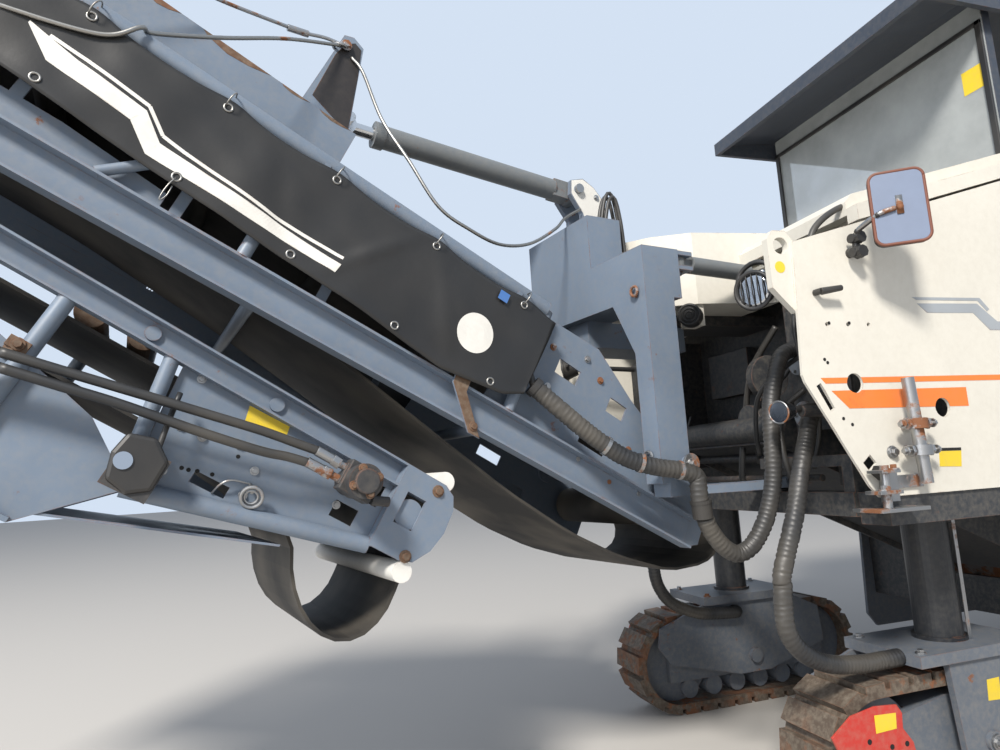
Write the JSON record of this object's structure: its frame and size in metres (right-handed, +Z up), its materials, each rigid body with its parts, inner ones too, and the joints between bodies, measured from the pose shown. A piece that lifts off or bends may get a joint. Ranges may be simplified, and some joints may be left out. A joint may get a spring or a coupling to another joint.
{
  "type": "cold planer milling machine",
  "caption": "Four-track cold planer with a folding front discharge conveyor, raised and slewed to the left, milling drum, canopy and engine hood",
  "frame": {"origin": "On the ground under the middle of the machine's length and width, conveyor included", "axes": "+X towards the conveyor at the machine's front, +Y to its left side, +Z up, ground at z = 0"},
  "size_m": [10.9572, 3.0186, 4.135],
  "materials": {
    "dark_paint": "matte",
    "cream_paint": "satin",
    "canopy_paint": "satin",
    "grey_paint": "matte",
    "conveyor_paint": "matte",
    "leg_paint": "matte",
    "cylinder_paint": "satin",
    "chrome_rod": "polished",
    "bare_steel": "worn",
    "worn_steel": "worn",
    "track_steel": "worn",
    "engine_iron": "matte",
    "drive_iron": "matte",
    "belt_rubber": "matte",
    "tarp_fabric": "matte",
    "seat_vinyl": "matte",
    "hose_rubber": "satin",
    "rope_steel": "worn",
    "black_plastic": "matte",
    "clear_glass": "clear"
  },
  "bodies": {
    "machine": {"chassis_frame": "dark_paint", "nose_bay": "dark_paint", "side_panel_left": "cream_paint", "side_panel_right": "cream_paint", "front_hood": "cream_paint", "lifting_lugs": "cream_paint", "clamp_post": "bare_steel", "mirror_left": "black_plastic", "mirror_right": "black_plastic", "work_lamps": "black_plastic", "platform": "cream_paint", "guard_rails": "dark_paint", "consoles": "black_plastic", "seats": "seat_vinyl", "canopy": "canopy_paint", "windscreen": "clear_glass", "ladders": "dark_paint", "engine_block": "engine_iron", "exhaust_pipe": "bare_steel", "receiving_conveyor": "dark_paint", "drum_housing": "dark_paint", "drum_side_plates": "grey_paint", "hose_bay": "hose_rubber", "hose_leg_left": "hose_rubber", "hose_leg_right": "hose_rubber"},
    "swing": {"swing_frame": "conveyor_paint", "rope_mast": "rope_steel"},
    "boom": {"boom_frame": "conveyor_paint", "boom_belt": "belt_rubber", "tarp_left": "tarp_fabric", "tarp_right": "tarp_fabric", "hose_boom": "hose_rubber", "rope_side": "rope_steel"},
    "tip": {"tip_frame": "conveyor_paint", "tip_belt": "belt_rubber", "tip_drive": "drive_iron"},
    "lift_barrel_body": {"lift_barrel": "cylinder_paint"},
    "lift_rod_body": {"lift_rod": "chrome_rod"},
    "slew_barrel_left_body": {"slew_barrel_left": "cylinder_paint"},
    "slew_rod_left_body": {"slew_rod_left": "chrome_rod"},
    "slew_barrel_right_body": {"slew_barrel_right": "cylinder_paint"},
    "slew_rod_right_body": {"slew_rod_right": "chrome_rod"},
    "leg_front_left_body": {"leg_front_left": "leg_paint", "track_front_left": "track_steel", "hose_track_left": "hose_rubber"},
    "leg_front_right_body": {"leg_front_right": "leg_paint", "track_front_right": "track_steel", "hose_track_right": "hose_rubber"},
    "leg_rear_left_body": {"leg_rear_left": "leg_paint", "track_rear_left": "track_steel"},
    "leg_rear_right_body": {"leg_rear_right": "leg_paint", "track_rear_right": "track_steel"},
    "drum": {"milling_drum": "worn_steel"},
    "scraper": {"scraper_flap": "dark_paint"},
    "hood": {"engine_hood": "cream_paint", "radiator_grille": "dark_paint"}
  },
  "joints": [
    {"name": "conveyor_slew", "type": "hinge", "parent": "machine", "child": "swing", "pos_m": [1.12141, 0, 2.3], "axis": [0, 0, 1], "range_deg": [-32, 8]},
    {"name": "boom_lift", "type": "hinge", "parent": "swing", "child": "boom", "pos_m": [1.59092, 0.0998, 1.58], "axis": [-0.2079, 0.9781, 0], "range_deg": [-1, 28]},
    {"name": "tip_fold", "type": "hinge", "parent": "boom", "child": "tip", "pos_m": [5.20167, 0.86729, 3.15768], "axis": [0.2079, -0.9781, 0], "range_deg": [0, 176.8]},
    {"name": "lift_cylinder_pivot", "type": "hinge", "parent": "swing", "child": "lift_barrel_body", "pos_m": [1.63005, 0.10811, 3.09], "axis": [-0.2079, 0.9781, 0], "range_deg": [-1.55, 27.2]},
    {"name": "lift_rod_slide", "type": "slide", "parent": "lift_barrel_body", "child": "lift_rod_body", "axis": [0.9716, 0.2065, 0.1151], "range_m": [-0.0303, 0.7395]},
    {"name": "slew_cylinder_left_pivot", "type": "hinge", "parent": "swing", "child": "slew_barrel_left_body", "pos_m": [1.3488, 0.66174, 2.53], "axis": [0, 0, 1], "range_deg": [-4.12, 14.68]},
    {"name": "slew_rod_left_slide", "type": "slide", "parent": "slew_barrel_left_body", "child": "slew_rod_left_body", "axis": [-0.9738, -0.2273, 0], "range_m": [-0.0816, 0.3145]},
    {"name": "slew_cylinder_right_pivot", "type": "hinge", "parent": "swing", "child": "slew_barrel_right_body", "pos_m": [1.59829, -0.51204, 2.53], "axis": [0, 0, 1], "range_deg": [-4.04, 14.36]},
    {"name": "slew_rod_right_slide", "type": "slide", "parent": "slew_barrel_right_body", "child": "slew_rod_right_body", "axis": [-1, -0.0093, 0], "range_m": [-0.3145, 0.0816]},
    {"name": "steer_front_left", "type": "hinge", "parent": "machine", "child": "leg_front_left_body", "pos_m": [0.22141, 0.8, 0.7], "axis": [0, 0, 1], "range_deg": [-25, 25]},
    {"name": "steer_front_right", "type": "hinge", "parent": "machine", "child": "leg_front_right_body", "pos_m": [0.22141, -0.8, 0.7], "axis": [0, 0, 1], "range_deg": [-25, 25]},
    {"name": "steer_rear_left", "type": "hinge", "parent": "machine", "child": "leg_rear_left_body", "pos_m": [-4.37859, 0.8, 0.7], "axis": [0, 0, 1], "range_deg": [-25, 25]},
    {"name": "steer_rear_right", "type": "hinge", "parent": "machine", "child": "leg_rear_right_body", "pos_m": [-4.37859, -0.8, 0.7], "axis": [0, 0, 1], "range_deg": [-25, 25]},
    {"name": "drum_spin", "type": "hinge", "parent": "machine", "child": "drum", "pos_m": [-2.07859, 0, 0.86], "axis": [0, 1, 0], "continuous": true},
    {"name": "scraper_swing", "type": "hinge", "parent": "machine", "child": "scraper", "pos_m": [-2.82889, 0, 1.15], "axis": [0, 1, 0], "range_deg": [0, 50]},
    {"name": "engine_hood_lid", "type": "hinge", "parent": "machine", "child": "hood", "pos_m": [-2.89859, 0, 2.865], "axis": [0, 1, 0], "range_deg": [0, 45]}
  ],
  "couplings": [
    {"joint": "lift_cylinder_pivot", "follows": "boom_lift", "ratio": 0.95},
    {"joint": "lift_rod_slide", "follows": "boom_lift", "m_per_rad": 1.505},
    {"joint": "slew_cylinder_left_pivot", "follows": "conveyor_slew", "ratio": -0.44},
    {"joint": "slew_rod_left_slide", "follows": "conveyor_slew", "m_per_rad": -0.556},
    {"joint": "slew_cylinder_right_pivot", "follows": "conveyor_slew", "ratio": -0.43},
    {"joint": "slew_rod_right_slide", "follows": "conveyor_slew", "m_per_rad": 0.556},
    {"joint": "steer_front_right", "follows": "steer_front_left", "ratio": 1},
    {"joint": "steer_rear_right", "follows": "steer_rear_left", "ratio": 1}
  ]
}
